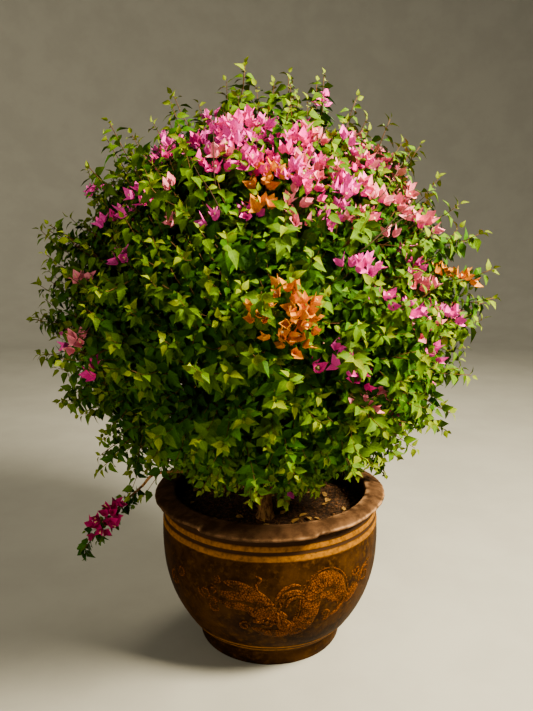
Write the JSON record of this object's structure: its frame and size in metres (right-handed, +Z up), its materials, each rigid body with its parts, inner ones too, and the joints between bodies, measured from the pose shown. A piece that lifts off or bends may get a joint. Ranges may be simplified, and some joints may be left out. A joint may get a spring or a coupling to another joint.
{
  "type": "potted bougainvillea bush",
  "caption": "Round, dense flowering bougainvillea bush with a short trunk, growing in a wide glazed garden pot filled with soil.",
  "frame": {"origin": "middle of the pot's flat underside, on the ground", "axes": "+Z up, -Y towards the front of the plant, +X to its right"},
  "size_m": [1.2449, 1.1879, 1.5905],
  "materials": {
    "glaze": "dark brown glaze with amber bands, worn",
    "soil": "loose dark potting soil with bark chips",
    "bark": "rough tan and grey bark",
    "leaf": "soft green leaves, lighter at the shoot tips",
    "blossom": "thin papery pink bracts"
  },
  "bodies": {
    "root": {"pot": "glaze", "soil": "soil", "trunk": "bark", "bough_top": "bark", "bough_upper_1": "bark", "bough_upper_2": "bark", "bough_upper_3": "bark", "bough_upper_4": "bark", "bough_upper_5": "bark", "bough_middle_1": "bark", "bough_middle_2": "bark", "bough_middle_3": "bark", "bough_middle_4": "bark", "bough_middle_5": "bark", "bough_middle_6": "bark", "bough_middle_7": "bark", "bough_lower_1": "bark", "bough_lower_2": "bark", "bough_lower_3": "bark", "bough_lower_4": "bark", "bough_lower_5": "bark", "bough_skirt_1": "bark", "bough_skirt_2": "bark", "bough_skirt_3": "bark", "bough_trailing": "bark", "foliage_top": "blossom", "foliage_upper_1": "blossom", "foliage_upper_2": "blossom", "foliage_upper_3": "blossom", "foliage_upper_4": "blossom", "foliage_upper_5": "blossom", "foliage_middle_1": "leaf", "foliage_middle_2": "leaf", "foliage_middle_3": "leaf", "foliage_middle_4": "leaf", "foliage_middle_5": "leaf", "foliage_middle_6": "leaf", "foliage_middle_7": "leaf", "foliage_lower_1": "leaf", "foliage_lower_2": "leaf", "foliage_lower_3": "leaf", "foliage_lower_4": "leaf", "foliage_lower_5": "leaf", "foliage_skirt_1": "leaf", "foliage_skirt_2": "leaf", "foliage_skirt_3": "leaf", "foliage_trailing": "leaf"}
  },
  "joints": []
}
